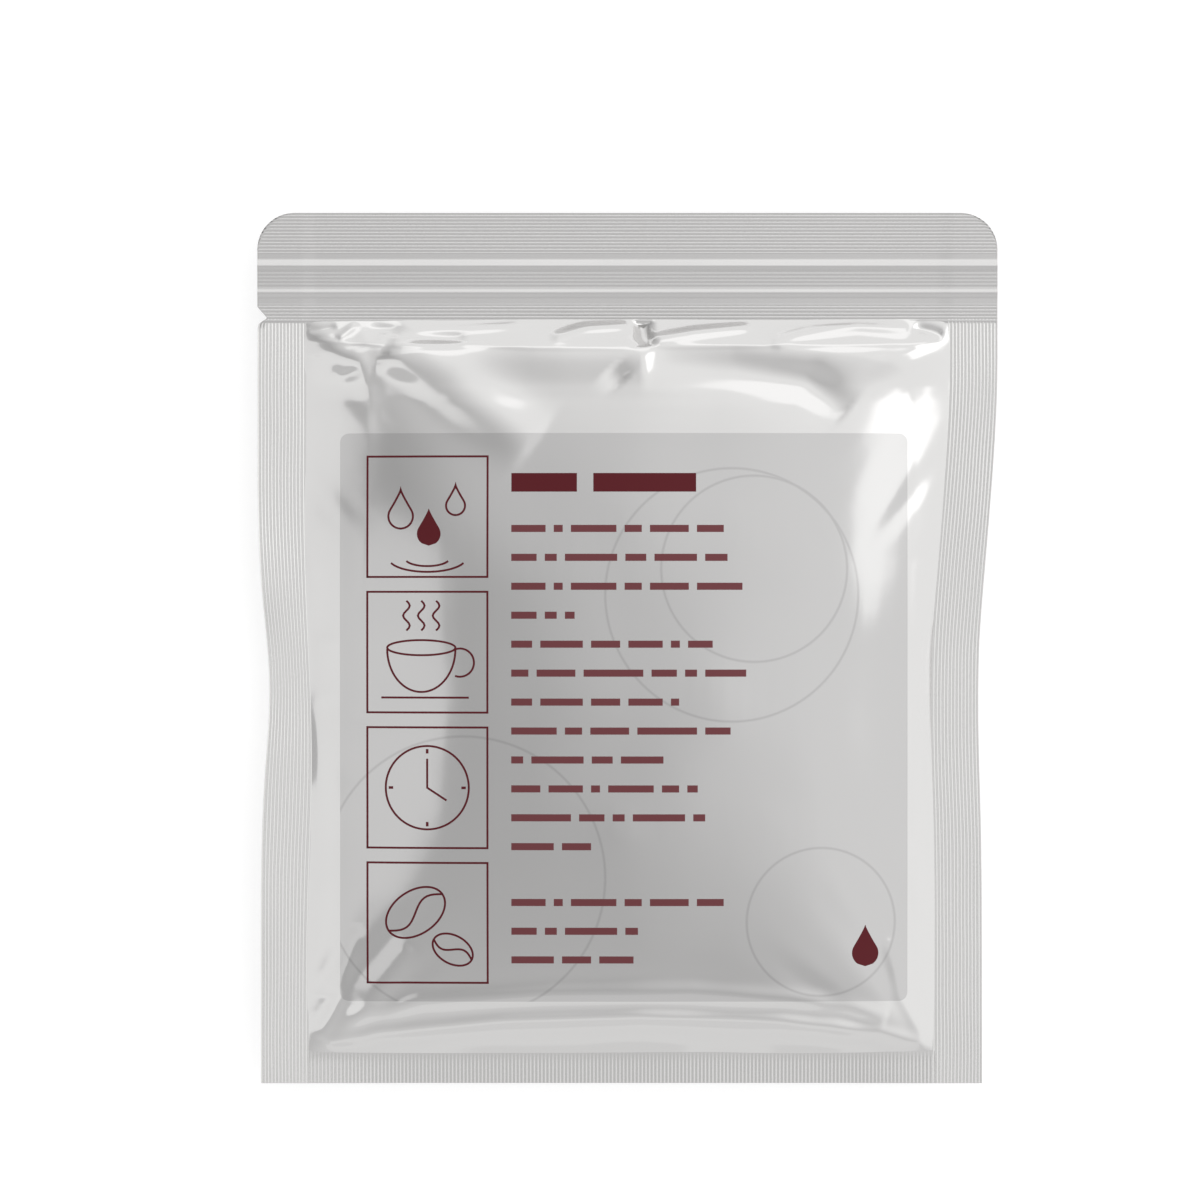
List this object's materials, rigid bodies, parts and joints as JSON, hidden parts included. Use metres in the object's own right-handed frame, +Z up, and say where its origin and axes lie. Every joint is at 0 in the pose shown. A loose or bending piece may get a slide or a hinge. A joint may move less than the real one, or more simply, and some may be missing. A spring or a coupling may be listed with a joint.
{
  "type": "drip coffee sachet",
  "caption": "Sealed flat sachet of pearl metallised film for a drip coffee filter, with crimped side and foot seals, a press-to-close head band and a tear notch.",
  "frame": {"origin": "on the resting face, below the middle of the sachet's outline", "axes": "+Z up out of the printed face, +Y from the foot seal to the head band, +X to the right of the printed face"},
  "size_m": [0.1, 0.1176, 0.0135],
  "materials": {
    "film": "pearl silver metallised film, glossy"
  },
  "bodies": {
    "root": {"sachet": "film"}
  },
  "joints": []
}
